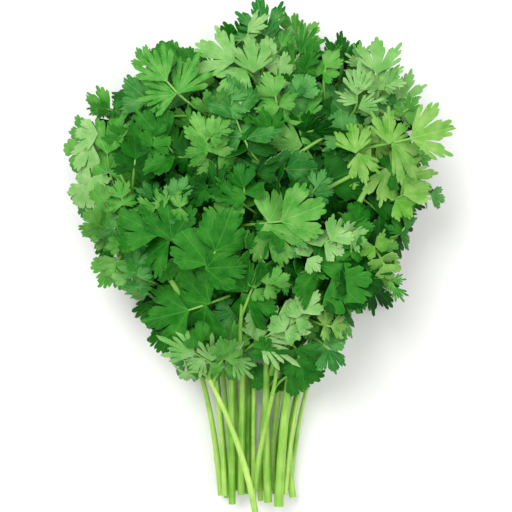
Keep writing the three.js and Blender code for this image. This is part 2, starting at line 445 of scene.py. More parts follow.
@dataclass(frozen=True)
class RimShape:
    """A leaflet's rim: tooth tips and the cuts between them, as angles and reach for a length of 1.

    The lists hold one half, from the middle tip outwards, and end with the back corner.
    """

    tips: tuple[tuple[float, float], ...]
    cuts: tuple[tuple[float, float], ...]
    steps: int = 2

    @property
    def teeth(self) -> int:
        """The number of tooth spacings from one back corner to the other."""
        return 2 * len(self.cuts) - 1

    def rays(self, chance: random.Random, uneven: float) -> list[tuple[float, float]]:
        """List the rim as angle in radians and reach, from one back corner to the other.

        Args:
            chance: The source of this leaflet's own irregularity.
            uneven: How far a tooth strays from its usual reach, as a share.

        Returns:
            One angle and reach for each ray of the blade.
        """
        right = self._half(chance, uneven)
        left = self._half(chance, uneven)
        left[0] = right[0]
        return [(-angle, reach) for angle, reach in reversed(left)] + right[1:]

    def _half(self, chance: random.Random, uneven: float) -> list[tuple[float, float]]:
        """Round one half of the rim from tip to cut and on to the next tip.

        Args:
            chance: The source of this half's own irregularity.
            uneven: How far a tooth strays from its usual reach, as a share.

        Returns:
            One angle in radians and reach for each ray, from the middle tip outwards.
        """
        tips = [(a, r * (1 + chance.uniform(-uneven, uneven))) for a, r in self.tips]
        cuts = [(a, r * (1 + chance.uniform(-uneven, uneven))) for a, r in self.cuts]
        points = [tips[0]]
        for number, cut in enumerate(cuts):
            points += self._arc(tips[number], cut)
            if number + 1 < len(tips):
                points += list(reversed(self._arc(tips[number + 1], cut)))[1:] + [tips[number + 1]]
        return [(math.radians(a), r) for a, r in points]

    def _arc(self, tip: tuple[float, float], cut: tuple[float, float]) -> list[tuple[float, float]]:
        """Round a tooth from just past its tip down to a cut.

        Args:
            tip: The tooth's tip, as an angle and a reach.
            cut: The cut beside it, in the same form.

        Returns:
            The rim's points, in the same form.
        """
        arc = []
        for step in range(1, self.steps + 1):
            share = 1.0 - (1.0 - step / self.steps) ** 1.4
            drop = math.sqrt(max(0.0, 1.0 - share * share))
            arc.append((mix_value(tip[0], cut[0], share), cut[1] + (tip[1] - cut[1]) * drop))
        return arc


BROAD = RimShape(
    tips=((0, 1.0), (8, 0.95), (15.5, 0.84), (26, 0.8), (35, 0.89), (44, 0.85), (54, 0.72)),
    cuts=((4, 0.88), (12, 0.8), (20, 0.42), (30.5, 0.75), (39.5, 0.77), (49.5, 0.66), (63, 0.36)),
)
DIVIDED = RimShape(
    tips=((0, 1.0), (8, 0.9), (14.5, 0.74), (28, 0.78), (35.5, 0.92), (43, 0.8), (55, 0.66)),
    cuts=((4, 0.82), (11.5, 0.7), (20, 0.28), (31.5, 0.74), (39.5, 0.74), (48.5, 0.38), (63, 0.28)),
)
ROUND = RimShape(
    tips=((0, 1.0), (9, 0.98), (18, 0.93), (28, 0.88), (38, 0.89), (48, 0.84), (60, 0.7)),
    cuts=((4.5, 0.91), (13.5, 0.86), (23, 0.55), (33, 0.8), (43, 0.8), (54, 0.68), (70, 0.4)),
)
COARSE = RimShape(
    tips=((0, 1.0), (14, 0.88), (34, 0.9), (50, 0.7)),
    cuts=((7, 0.9), (22, 0.5), (42, 0.78), (62, 0.34)), steps=1)
FINE = RimShape(
    tips=((0, 1.0), (13, 0.74), (27, 0.88), (41, 0.66)),
    cuts=((6.5, 0.5), (19, 0.26), (34, 0.4), (53, 0.22)))

BROAD_RIMS = (BROAD, BROAD, DIVIDED, BROAD, ROUND)
DIVIDED_RIMS = (DIVIDED, DIVIDED, FINE)
INNER_REACH = 0.7  # near its base a blade spreads alike in all directions, whatever its rim does


@dataclass
class Blade:
    """One leaflet: a thin closed sheet that folds at its midrib, bends down and curls at its rim."""

    rim: RimShape
    length: float
    bend: float = 0.16
    fold: float = 0.12
    curl: float = 0.05
    droop: float = 0.1
    uneven: float = 0.07
    thickness: float = 0.34
    rings: int = 5
    ring_spacing: float = 0.8
    base_loss: float = 0.55
    base_reach: float = 0.4

    def add_to(
        self, mesh: Mesh, place: Matrix, slot: int, shade: float, chance: random.Random) -> list[Vert]:
        """Add the leaflet to a mesh.

        Args:
            mesh: The mesh to add to. It has the layers that new_mesh gives it.
            place: Where the leaflet's base goes, and how it is turned.
            slot: The material slot of the blade.
            shade: How far this leaflet is lighter than its neighbours.
            chance: The source of this leaflet's irregularity.

        Returns:
            The vertices of the blade's upper side.
        """
        rays = self.rim.rays(chance, self.uneven)
        old = set(mesh.faces)
        grid = bmesh.ops.create_grid(
            mesh, x_segments=len(rays) - 1, y_segments=self.rings, size=0.5, calc_uvs=True)["verts"]
        waves = chance.uniform(1.6, 3.4)
        phase = chance.uniform(0.0, math.tau)
        twist = chance.uniform(-0.16, 0.16)
        ripple = chance.uniform(0.0, 0.03)
        for vertex in grid:
            angle, reach = rays[round((vertex.co.x + 0.5) * (len(rays) - 1))]
            out = (vertex.co.y + 0.5) ** self.ring_spacing
            span = reach * (1.0 - (1.0 - out) ** (INNER_REACH / reach))
            along = span * self.length * math.cos(angle)
            narrow = 1.0 - self.base_loss * (1.0 - min(1.0, span / self.base_reach)) ** 2
            across = span * self.length * math.sin(angle) * narrow
            height = self.fold * math.sqrt(across * across + 1.0)
            height -= self.bend * along * along / self.length
            height += self.curl * self.length * span**2 * math.sin(waves * angle + phase)
            height += ripple * self.length * span**3 * math.sin(9.0 * angle + 2.0 * phase)
            height += twist * across * span
            height -= self.droop * self.length * (abs(across) / self.length) ** 1.6
            vertex.co = Vector((along, across, height))
        bmesh.ops.remove_doubles(mesh, verts=grid, dist=MERGE)
        faces = [face for face in mesh.faces if face not in old]
        top = list({vertex for face in faces for vertex in face.verts})
        under = mesh.verts.layers.float["under"]
        tint = mesh.verts.layers.float["shade"]
        for vertex in top:
            vertex[tint] = shade
        bmesh.ops.recalc_face_normals(mesh, faces=faces)
        if sum(face.normal.z * face.calc_area() for face in faces) < 0:
            bmesh.ops.reverse_faces(mesh, faces=faces)
        lift = [(vertex, vertex.normal.copy()) for vertex in top]
        grown = bmesh.ops.extrude_face_region(mesh, geom=faces, use_keep_orig=True)["geom"]
        lower = [item for item in grown if isinstance(item, Vert)]
        tree = {tuple(round(c, 5) for c in vertex.co): normal for vertex, normal in lift}
        for vertex in lower:
            normal = tree[tuple(round(c, 5) for c in vertex.co)]
            vertex.co = vertex.co - normal * self.thickness
            vertex[under] = 1.0
        shell = [face for face in mesh.faces if face not in old]
        bmesh.ops.recalc_face_normals(mesh, faces=shell)
        for face in shell:
            face.material_index = slot
            face.smooth = True
        bmesh.ops.transform(mesh, matrix=place, verts=top + lower)
        return top


@dataclass
class Stalk:
    """A round or ribbed stalk along a cubic curve, closed at both ends."""

    points: list[Vector]
    foot: float
    tip: float
    sides: int = 6
    steps: int = 8
    ribs: int = 0
    rib_depth: float = 0.05
    joints: tuple[float, ...] = ()
    joint_swell: float = 0.2
    joint_reach: float = 0.012

    def add_to(
        self, mesh: Mesh, slot: int, shade: float, end_slot: int | None = None) -> list[Vert]:
        """Add the stalk to a mesh.

        Args:
            mesh: The mesh to add to. It has the layers that new_mesh gives it.
            slot: The material slot of the skin.
            shade: How far this stalk is lighter than its neighbours.
            end_slot: The material slot of the cut face at the foot, if it has one of its own.

        Returns:
            The stalk's vertices.
        """
        old = set(mesh.faces)
        grid = bmesh.ops.create_grid(
            mesh, x_segments=self.sides, y_segments=self.steps, size=0.5, calc_uvs=True)["verts"]
        for vertex in grid:
            turn = (vertex.co.x + 0.5) * math.tau
            share = vertex.co.y + 0.5
            radius = mix_value(self.foot, self.tip, share)
            radius *= 1.0 + self.rib_depth * math.cos(self.ribs * turn) if self.ribs else 1.0
            for joint in self.joints:
                radius *= 1.0 + self.joint_swell * math.exp(-(((share - joint) / self.joint_reach) ** 2))
            ahead = cubic_direction(self.points, share)
            across = ahead.cross(UP)
            across = across.normalized() if across.length > 1e-4 else Vector((1.0, 0.0, 0.0))
            over = across.cross(ahead)
            around = across * math.cos(turn) + over * math.sin(turn)
            vertex.co = cubic(self.points, share) + around * radius
        bmesh.ops.remove_doubles(mesh, verts=grid, dist=MERGE)
        faces = [face for face in mesh.faces if face not in old]
        ends = [edge for edge in {e for f in faces for e in f.edges} if edge.is_boundary]
        caps = bmesh.ops.holes_fill(mesh, edges=ends, sides=0)["faces"]
        body = faces + caps
        bmesh.ops.recalc_face_normals(mesh, faces=body)
        for face in body:
            face.smooth = True
            face.material_index = slot
        if end_slot is not None:
            self._cut(mesh, caps, end_slot)
        verts = list({vertex for face in mesh.faces if face not in old for vertex in face.verts})
        tint = mesh.verts.layers.float["shade"]
        for vertex in verts:
            vertex[tint] = shade
        return verts

    def _cut(self, mesh: Mesh, caps: list[Face], end_slot: int) -> None:
        """Give the foot a pale cut face with a thin skin and a shallow hollow.

        Args:
            mesh: The stalk's mesh.
            caps: The faces that close the stalk's two ends.
            end_slot: The material slot of the cut face.
        """
        foot = min(caps, key=lambda face: (face.calc_center_median() - self.points[0]).length)
        foot.smooth = False
        bmesh.ops.inset_region(mesh, faces=[foot], thickness=self.foot * 0.16)
        foot.material_index = end_slot
        bmesh.ops.inset_region(mesh, faces=[foot], thickness=self.foot * 0.45, depth=-self.foot * 0.3)


def new_mesh() -> Mesh:
    """Make an empty mesh with the layers that blades and stalks write to.

    Returns:
        The mesh.
    """
    mesh = bmesh.new()
    mesh.loops.layers.uv.new("blade")
    mesh.verts.layers.float.new("shade")
    mesh.verts.layers.float.new("under")
    return mesh


def finish_piece(name: str, mesh: Mesh, materials: list[Material]) -> bpy.types.Object:
    """Turn a mesh in millimetres into a piece in metres that rides on the bunch.

    Args:
        name: The piece's name.
        mesh: The mesh, which is freed.
        materials: The piece's materials, in slot order.

    Returns:
        The new object.
    """
    for vertex in mesh.verts:
        if vertex.co.z < TABLE_GIVE:
            vertex.co.z = TABLE_GIVE * math.exp((vertex.co.z - TABLE_GIVE) / TABLE_GIVE)
    bmesh.ops.scale(mesh, vec=(MM, MM, MM), verts=mesh.verts)
    data = bpy.data.meshes.new(name)
    mesh.to_mesh(data)
    mesh.free()
    data.set_sharp_from_angle(angle=math.radians(SHARP_ANGLE))
    for material in materials:
        data.materials.append(material)
    piece = bpy.data.objects.new(name, data)
    bpy.context.scene.collection.objects.link(piece)
    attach(piece, "root")
    return piece


# ---------------------------------------------------------------- the bunch


@dataclass
class Mound:
    """The mound that the leaves are piled into: an ellipsoid, and its outline on the table."""

    centre: Vector
    radii: Vector
    neck_height: float = 26.0
    sideways: float = 0.62

    def facing(self, x: float, y: float, amount: float) -> Vector:
        """Return the way a leaf faces over a point of the table.

        Args:
            x: The point's place to the right.
            y: The point's place towards the leaves.
            amount: How far the leaf turns from facing up to facing out of the mound.

        Returns:
            The unit direction of the leaf's upper side.
        """
        across = (x - self.centre.x) / self.radii.x
        along = (y - self.centre.y) / self.radii.y
        rise = math.sqrt(max(0.0, 1 - across * across - along * along))
        out = Vector((across / self.radii.x, along / self.radii.y, max(rise, 0.05) / self.radii.z))
        return UP.lerp(out.normalized(), amount).normalized()

    def height(self, x: float, y: float) -> float:
        """Find how high the mound is.

        Args:
            x: The point's place to the right.
            y: The point's place towards the leaves.

        Returns:
            The height over that point of the table.
        """
        across = (x - self.centre.x) / self.radii.x
        along = (y - self.centre.y) / self.radii.y
        rise = math.sqrt(max(0.0, 1 - across * across - along * along))
        return max(self.neck_height, self.centre.z + rise * self.radii.z)


MOUND = Mound(Vector((0, 42, 14)), Vector((108, 106, 36)))

# The head's outline on the table: distance along the bunch, then its left and right edges.
HEAD_EDGE = (
    (-70, -40, 16), (-58, -46, 26), (-44, -58, 42), (-30, -66, 54), (-14, -76, 70), (2, -80, 76),
    (22, -92, 86), (46, -96, 92), (66, -88, 90), (86, -72, 68), (104, -54, 60), (118, -8, 22),
)

# Stems: diameter at the cut end, then the four points of a cubic curve from cut end to tip.
STEMS = (
    (3.6, (-15.5, -130, 1.9), (-19, -95, 2.4), (-21, -45, 8), (-36, 40, 17)),
    (4.0, (-9.6, -126, 2.1), (-11, -90, 2.6), (-11, -45, 8), (-20, 22, 17)),
    (4.2, (-2.8, -128, 2.2), (-3, -90, 2.7), (-2, -45, 8), (2, 50, 17)),
    (3.8, (3.6, -126, 2.0), (5, -90, 2.5), (6, -45, 8), (20, 66, 17)),
    (3.6, (10.4, -128, 1.9), (12, -90, 2.4), (16, -50, 8), (44, -4, 16)),
    (3.4, (-19, -128, 7.2), (-22, -92, 8.4), (-27, -50, 17), (-58, 8, 31)),
    (3.2, (-4.6, -127, 7.2), (-5, -92, 8.2), (-4.4, -50, 16), (4, 66, 28)),
    (3.0, (2.2, -131, 7.0), (1, -92, 8.0), (6, -50, 16), (24, 42, 28)),
    (3.2, (8.4, -125, 7.2), (7.6, -92, 8.2), (13, -50, 16), (32, 10, 28)),
    (3.8, (19.4, -129, 7.4), (13, -92, 7.8), (21, -55, 16), (60, 22, 30)),
    (3.8, (-12.9, -132, 12.4), (-13.4, -90, 13.6), (-13, -45, 24), (-15, 60, 41)),
    (3.7, (-8.1, -127, 12.4), (-8, -90, 13.6), (-7.6, -45, 24), (-2, 74, 41)),
    (4.3, (6.2, -131, 12.6), (4.4, -95, 13.8), (3.6, -50, 24), (11, 32, 40)),
    (5.2, (11.8, -133, 13.0), (13.4, -100, 14.2), (15.6, -55, 24), (36, 56, 42)),
    (2.9, (-0.6, -123, 17.6), (1.4, -96, 19.4), (8.4, -80, 25), (11, -56, 31)),
    (3.5, (-0.6, -135, 22.2), (-5, -110, 24), (-13, -84, 30), (-29, -56, 35)),
)
STEM_TAPER = 0.62

# Thin stems between the others, in the same form.
THIN_STEMS = (
    (2.8, (-12.6, -129, 6.4), (-15, -92, 7.4), (-17, -50, 14), (-30, 30, 26)),
    (2.6, (15.6, -127, 11.6), (18.4, -92, 12.6), (24, -52, 20), (46, 20, 32)),
    (2.6, (-1.2, -130, 11.8), (-1.6, -92, 13.2), (-1.6, -48, 22), (2, 50, 36)),
    (2.8, (-16.6, -127, 16.4), (-18, -90, 18), (-21, -48, 28), (-38, 36, 42)),
    (2.6, (18.6, -126, 3.2), (21, -92, 4.0), (27, -54, 10), (56, 4, 20)),
)

# Pale stalks that cross the top of the mound, in the same form.
SHOWING_STALKS = (
    (3.4, (-22, -48, 22), (-31, -32, 44), (-42, -14, 59), (-60, 12, 38)),
    (2.4, (-26, -40, 22), (-36, -18, 48), (-45, -3, 57), (-54, 13, 40)),
    (2.4, (16, 23, 38), (34, 34, 60), (52, 42, 60), (76, 56, 46)),
    (3.4, (46, 14, 34), (52, 26, 56), (57, 36, 57), (64, 52, 42)),
    (2.6, (-7, -62, 24), (-10, -42, 47), (-6, -24, 56), (-6, 2, 44)),
    (1.6, (-7, -30, 48), (-4, -20, 56), (1, -12, 57), (5, 4, 44)),
    (3.0, (8, -62, 24), (12, -42, 45), (18, -24, 54), (32, 2, 42)),
    (2.0, (4, 36, 42), (16, 50, 61), (30, 58, 62), (52, 70, 46)),
    (2.0, (-54, 14, 36), (-64, 32, 54), (-70, 42, 54), (-76, 56, 40)),
)

# Leaves: x and y of the joint, heading, length, tip's rise and roll, then the leaf's tone.
D, G, B, L, Y, P = Tone.DEEP, Tone.GREEN, Tone.BLUISH, Tone.LIGHT, Tone.YELLOW, Tone.PALE
LOWER_LEAVES = (
    (-50, 72, 146, 30, -6, 4, D), (-62, 22, 190, 30, -8, -5, B), (-46, -18, 214, 25, -6, 6, G),
    (52, 76, 44, 30, -7, -4, D), (62, 26, -6, 28, -8, 5, G), (56, -10, -36, 24, -6, -6, D),
    (2, 96, 92, 28, -5, 3, G),
)
UPPER_LEAVES = (
    (5, 112, 96, 24, 6, 5, B), (21, 103, 60, 18, 4, -6, G), (41, 97, 82, 20, 4, 6, D),
    (73, 79, 72, 19, 2, -5, P), (-48, 76, 152, 27, 0, 8, B), (-84, 60, 230, 23, -12, -8, L),
    (-83, 36, 232, 20, -14, 8, B), (-68, 20, 230, 25, -8, -6, G), (-69, -2, 240, 19, -12, 6, L),
    (-74, 50, 87, 27, 2, -10, L), (60, 25, -48, 29, -8, 6, D), (59, 0, -45, 20, -10, -6, Y),
    (70, 42, -22, 26, -4, 5, Y), (35, -7, -38, 27, -6, -5, G), (-34, -55, 212, 17, -6, 4, B),
    (20, -61, 52, 18, 2, -6, G), (-5, -45, 275, 16, -8, 5, B), (-26, -5, 250, 23, -6, -6, G),
    (-16, -49, 80, 18, 4, 6, L), (24, -31, 62, 20, 2, 8, L), (33, 36, 20, 28, 0, -5, D),
    (4, 40, 75, 29, 3, 6, D), (-32, 24, 130, 28, 2, -5, G), (-46, 8, 155, 28, 0, 6, G),
    (-43, 56, 125, 27, 4, 6, G), (20, 61, 103, 27, 4, -6, L), (-6, 66, 112, 27, 3, 6, B),
    (-32, -24, 196, 33, -6, -6, G), (-30, -50, 152, 23, -2, 6, P), (7, -41, 38, 25, 3, -6, P),
    (9, 15, 10, 30, 2, 6, L), (-24, 0, 58, 27, 5, -5, G), (46, 66, 128, 28, 4, 8, B),
    (-8, 95, 150, 28, 5, 6, P), (-40, 86, 127, 29, 6, -5, L), (61, 92, 98, 23, 5, 4, P),
    (74, 55, 14, 30, 3, -5, Y),
)
UPPERMOST = 27  # the rows from here on lie on top of all the others
YOUNG_FROM = 84  # leaves further along the bunch than this are young and more divided

# Small leaves that lie on top where they show most: x, y, heading, length, tip's rise, tone and rim.
ACCENT_LEAVES = (
    (13, 107, 62, 12, 10, L, FINE), (4, 100, 92, 12, 14, P, BROAD), (26, 96, 80, 12, 8, G, FINE),
    (51, 81, 96, 18, 6, P, FINE), (67, 88, 62, 10, 10, P, FINE), (10, 80, 110, 15, 8, L, BROAD),
    (-25, 57, 116, 16, 12, L, BROAD), (-20, 62, 44, 10, -6, L, DIVIDED), (-77, 27, 115, 12, 6, L, BROAD),
    (-68, 29, 100, 12, 10, L, DIVIDED), (55, 58, 150, 11, 4, Y, BROAD), (63, 57, 44, 12, 6, Y, DIVIDED),
    (83, 51, 2, 9, -6, L, BROAD), (78, 75, 60, 10, 8, L, DIVIDED), (75, 31, 28, 17, 2, Y, BROAD),
    (90, 32, -12, 11, -12, B, BROAD), (10, 12, 150, 12, 4, G, BROAD), (19, 14, 76, 13, 8, B, DIVIDED),
    (37, 8, 38, 15, 2, P, BROAD), (47, 11, -30, 12, -4, P, DIVIDED), (65, -4, -60, 12, -8, Y, BROAD),
    (71, -16, -72, 10, -14, L, FINE), (8, -14, 20, 11, 6, L, BROAD), (-61, -6, 96, 12, 4, B, DIVIDED),
    (-37, -60, 200, 9, -4, P, BROAD), (-27, -43, 62, 12, 8, G, ROUND), (-16, -50, 96, 14, 10, L, BROAD),
    (4, -48, 112, 9, 6, G, BROAD), (23, -29, 48, 15, 6, P, BROAD), (38, -36, -8, 12, -8, Y, DIVIDED),
    (22, -52, -74, 17, -10, G, BROAD), (-40, 30, 66, 12, 10, B, BROAD), (-6, 34, 100, 14, 8, G, BROAD),
    (30, 34, 70, 12, 4, B, DIVIDED), (-52, 60, 84, 13, 6, G, BROAD), (-12, 78, 70, 12, 8, B, DIVIDED),
    (-84, 58, 236, 17, -20, P, BROAD), (-86, 36, 242, 14, -26, P, ROUND), (-80, 76, 172, 9, -4, G, FINE),
    (-72, 14, 236, 15, -22, B, BROAD), (-72, -6, 250, 13, -20, L, BROAD), (38, 102, 76, 12, 2, G, FINE),
    (-56, 98, 124, 13, 6, L, DIVIDED), (54, 100, 84, 12, 4, P, FINE), (44, 62, 96, 13, 4, B, ROUND),
)

# Places left open on top of the mound, where stalks cross a dark gap: x, y and radius.
OPEN_PLACES = (
    (0, -18, 13), (-44, -8, 10), (55, 33, 9), (14, -52, 12), (-14, -58, 12), (28, 46, 8), (-38, 44, 6),
)


def head_width(y: float) -> tuple[float, float]:
    """Find the head's edges.

    Args:
        y: The distance along the bunch.

    Returns:
        The left and the right edge there.
    """
    for low, high in zip(HEAD_EDGE, HEAD_EDGE[1:]):
        if y <= high[0]:
            share = max(0.0, (y - low[0]) / (high[0] - low[0]))
            return mix_value(low[1], high[1], share), mix_value(low[2], high[2], share)
    return HEAD_EDGE[-1][1], HEAD_EDGE[-1][2]


def tone_at(x: float, y: float, chance: random.Random) -> Tone:
    """Pick a leaf's tone: yellower to the right, paler at the tip and neck, deep in the middle.

    Args:
        x: The leaf's place to the right.
        y: The leaf's place towards the tips.
        chance: What picks among the tones of that place.

    Returns:
        The tone.
    """
    if x > 48 and y > 20:
        choices = (Tone.YELLOW, Tone.LIGHT, Tone.BLUISH, Tone.GREEN, Tone.DEEP, Tone.DEEP)
    elif y > 84:
        choices = (Tone.PALE, Tone.LIGHT, Tone.BLUISH, Tone.GREEN)
    elif x < -58:
        choices = (Tone.BLUISH, Tone.GREEN, Tone.LIGHT, Tone.DEEP, Tone.GREEN, Tone.PALE)
    elif y < -28:
        choices = (Tone.GREEN, Tone.LIGHT, Tone.BLUISH, Tone.PALE, Tone.GREEN)
    else:
        # the deep tone, with its painted half shade, comes up most often here in the middle
        choices = (Tone.DEEP, Tone.GREEN, Tone.DEEP, Tone.GREEN, Tone.BLUISH, Tone.DEEP, Tone.LIGHT)
    return chance.choice(choices)


class Materials:
    """All the finishes of the bunch, each built once."""

    def __init__(self) -> None:
        """Build every leaf and stem material."""
        self.leaf = {tone: finish.material() for tone, finish in LEAF_FINISHES.items()}
        self.stem = STEM_FINISH.material()
        self.petiole = PETIOLE_FINISH.material()
        self.pith = PITH_FINISH.material()


@dataclass
class StemBundle:
    """The cut stems: sixteen that stand for the solid ones, and thin ones between them."""

    materials: Materials
    sides: int = 20
    steps: int = 72

    def build(self) -> list[list[Vector]]:
        """Build every stem.

        Returns:
            The curve of each stem in the frame, in millimetres, for leaves to join.
        """
        chance = random.Random(11)
        curves = []
        for number, (diameter, *points) in enumerate(STEMS, start=1):
            name = f"stem_{number:02d}"
            curve = [Vector(point) for point in points]
            mesh = new_mesh()
            joints = (chance.uniform(0.16, 0.3),) if chance.random() < 0.4 else ()
            stalk = Stalk(
                curve, diameter / 2, diameter / 2 * STEM_TAPER, self.sides, self.steps,
                ribs=5, rib_depth=0.035, joints=joints)
            verts = stalk.add_to(mesh, 0, chance.uniform(-0.25, 0.25), end_slot=1)
            low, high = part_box(name)
            shift = (low + high) / 2 / MM - middle_of([v.co for v in verts])
            bmesh.ops.translate(mesh, vec=shift, verts=mesh.verts)
            curves.append([point + shift for point in curve])
            piece = finish_piece(
                "fine_" + name, mesh, [self.materials.stem, self.materials.pith])
            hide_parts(name)
            LOG.info("%s: %.1f mm thick", piece.name, diameter)
        self._loose("thin_stem", THIN_STEMS, STEM_TAPER, self.materials.stem, 14, 60)
        self._loose("showing_stalk", SHOWING_STALKS, 0.7, self.materials.petiole, 10, 24)
        return curves

    def _loose(
        self, kind: str, rows: tuple, taper: float, skin: Material, sides: int, steps: int) -> None:
        """Build stems or stalks that stand for no solid one.

        Args:
            kind: What the pieces are called.
            rows: The rows of the table, each a diameter and four points.
            taper: The tip's diameter as a share of the foot's.
            skin: The finish of the skin.
            sides: How many sides the stalk has.
            steps: How many lengths it has.
        """
        for number, (diameter, *points) in enumerate(rows, start=1):
            mesh = new_mesh()
            curve = [Vector(point) for point in points]
            stalk = Stalk(
                curve, diameter / 2, diameter / 2 * taper, sides, steps, ribs=5, rib_depth=0.03)
            stalk.add_to(mesh, 0, 0.1, end_slot=1)
            piece = finish_piece(f"{kind}_{number:02d}", mesh, [skin, self.materials.pith])
            LOG.info("%s: %.1f mm thick", piece.name, diameter)


def leaf_turn(heading: float, facing: Vector, lean: float, roll: float) -> Matrix:
    """Return the turn of a leaf on a surface.

    Args:
        heading: The middle leaflet's heading in plan.
        facing: The way the surface faces.
        lean: How far the tip rises.
        roll: How far the blade rolls about its midrib.

    Returns:
        The turn as a four by four matrix.
    """
    flat = Vector((math.cos(math.radians(heading)), math.sin(math.radians(heading)), 0.0))
    ahead = (flat - facing * flat.dot(facing)).normalized()
    left = facing.cross(ahead)
    turn = Matrix((ahead, left, facing)).transposed().to_4x4()
    turn = turn @ Matrix.Rotation(-math.radians(lean), 4, "Y")
    return turn @ Matrix.Rotation(math.radians(roll), 4, "X")


def leaflet_place(back: float, spread: float, pitch: float, roll: float) -> Matrix:
    """Place a leaflet on its leaf.

    Args:
        back: How far behind the leaf's joint it starts.
        spread: How far it turns out.
        pitch: How far its tip rises.
        roll: How far it twists about its midrib.

    Returns:
        The leaflet's place.
    """
    turn = Matrix.Rotation(math.radians(spread), 4, "Z")
    turn = turn @ Matrix.Rotation(-math.radians(pitch), 4, "Y")
    turn = turn @ Matrix.Rotation(math.radians(roll), 4, "X")
    return Matrix.Translation((-back, 0.0, 0.0)) @ turn


@dataclass
class Leaf:
    """A compound leaf: a middle leaflet, a pair beside it, and often a smaller pair lower down."""

    length: float
    rim: RimShape
    lower_pair: bool = True
    rings: int = 5

    def add_blades(self, mesh: Mesh, chance: random.Random) -> list[Vector]:
        """Add the leaflets, joined at the origin.

        Args:
            mesh: The mesh to add to.
            chance: The source of the leaf's irregularity.

        Returns:
            The points of the main three leaflets.
        """
        length = self.length
        marks = []
        tip = leaflet_place(0.0, chance.uniform(-12, 12), chance.uniform(-14, 16), chance.uniform(-18, 18))
        plan = [(0.92 if length < 26 else 0.84, tip)]
        for side in (1, -1):
            spread = side * chance.uniform(52, 76)
            place = leaflet_place(
                chance.uniform(0.2, 0.4) * length, spread, chance.uniform(-18, 22),
                side * chance.uniform(-22, 40))
            place = Matrix.Translation((0.0, 0.0, -0.06 * length)) @ place
            plan.append((chance.uniform(0.64, 0.86), place))
        for scale, place in plan:
            top = self._blade(scale * chance.uniform(0.97, 1.06), chance).add_to(
                mesh, place, 0, chance.uniform(-0.2, 0.22), chance)
            marks += [vertex.co.copy() for vertex in top]
        if self.lower_pair:
            for side in (1, -1):
                spread = side * chance.uniform(66, 96)
                place = leaflet_place(
                    chance.uniform(0.8, 0.96) * length, spread, chance.uniform(-8, 10),
                    side * chance.uniform(-10, 25))
                place = Matrix.Translation((0.0, 0.0, -0.2 * length)) @ place
                self._blade(chance.uniform(0.54, 0.72), chance).add_to(
                    mesh, place, 0, chance.uniform(-0.16, 0.16), chance)
        return marks

    def _blade(self, scale: float, chance: random.Random) -> Blade:
        """Shape one leaflet of the leaf, with a bend, fold and curl of its own.

        Args:
            scale: The leaflet's length as a share of the leaf's.
            chance: The source of its irregularity.

        Returns:
            The leaflet.
        """
        return Blade(
            self.rim, self.length * scale, bend=chance.uniform(-0.04, 0.42), fold=chance.uniform(-0.06, 0.34),
            curl=chance.uniform(0.05, 0.15), droop=chance.uniform(-0.15, 0.5), rings=self.rings)


@dataclass(frozen=True)
class Scatter:
    """How the small leaves lie over the mound."""

    start: float = -44
    end: float = 112
    spacing: float = 18
    rise: tuple[float, float] = (1, 19)
    sunk: float = 15
    highest: float = 62.0
    lift: float = 17.0
    lengths: tuple[float, float] = (11, 20)


